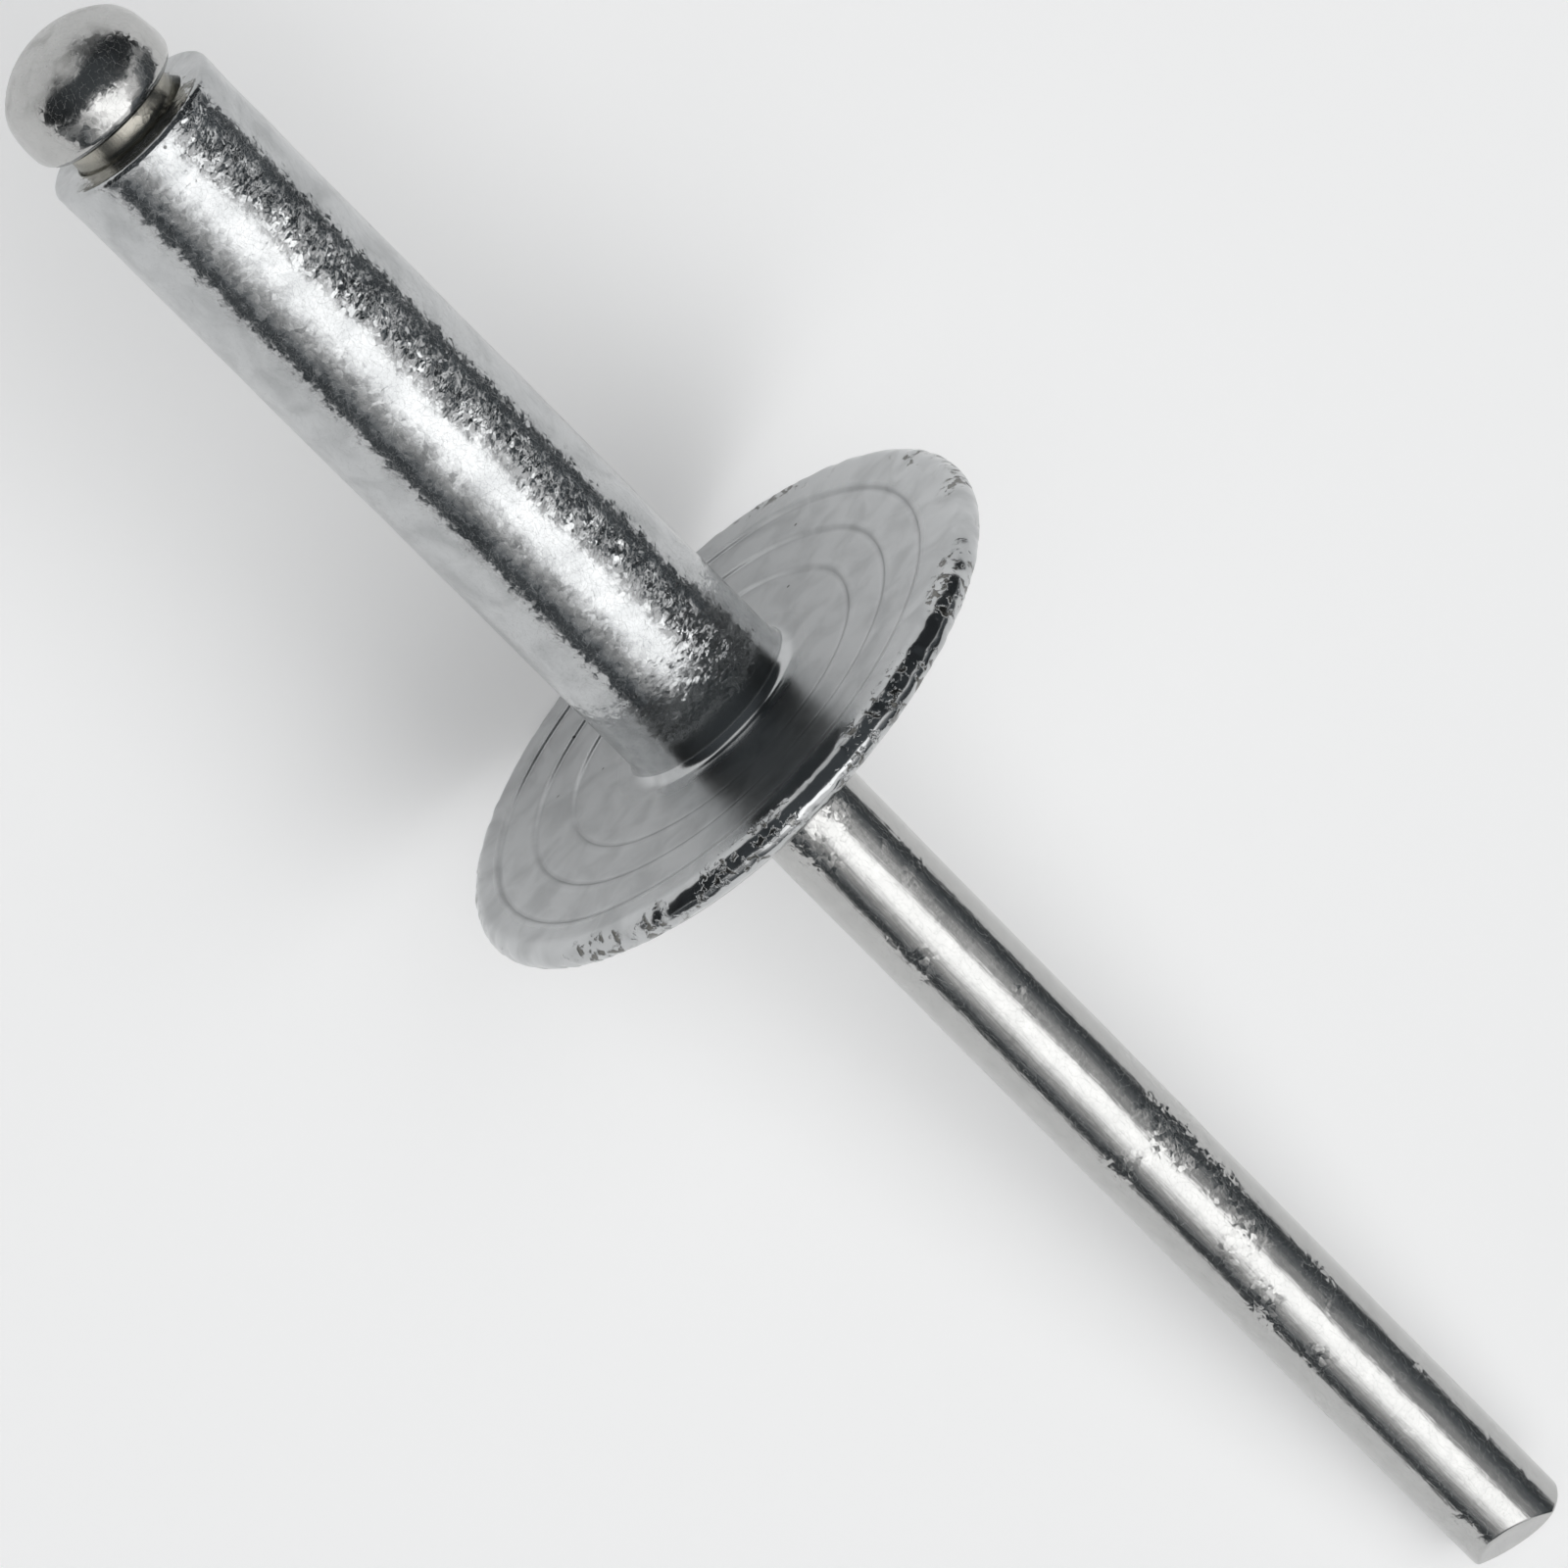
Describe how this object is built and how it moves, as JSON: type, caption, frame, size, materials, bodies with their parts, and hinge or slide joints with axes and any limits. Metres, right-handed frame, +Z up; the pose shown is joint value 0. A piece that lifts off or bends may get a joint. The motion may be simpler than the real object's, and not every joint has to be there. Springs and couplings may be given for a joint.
{
  "type": "blind rivet",
  "caption": "Large-flange blind rivet: a tubular aluminium body with a wide domed flange, on a steel mandrel that pulls its rounded head into the body to set it.",
  "frame": {"origin": "on the ground under the middle of the footprint, with the rivet lying on its flange rim and on the nipped end of its mandrel", "axes": "+Z up; +X along the ground from the nipped end towards the mandrel head; the rivet's own axis lies in the XZ plane and rises towards the head at about 12.2 degrees"},
  "size_m": [0.0542, 0.016, 0.0157],
  "materials": {
    "aluminium_body": "bright cold-formed aluminium, finely wrinkled on the shank and satin on the flange",
    "steel_mandrel": "bright drawn and plated steel wire, dull on the upset head"
  },
  "bodies": {
    "root": {"rivet_body": "aluminium_body", "mandrel": "steel_mandrel"}
  },
  "joints": []
}
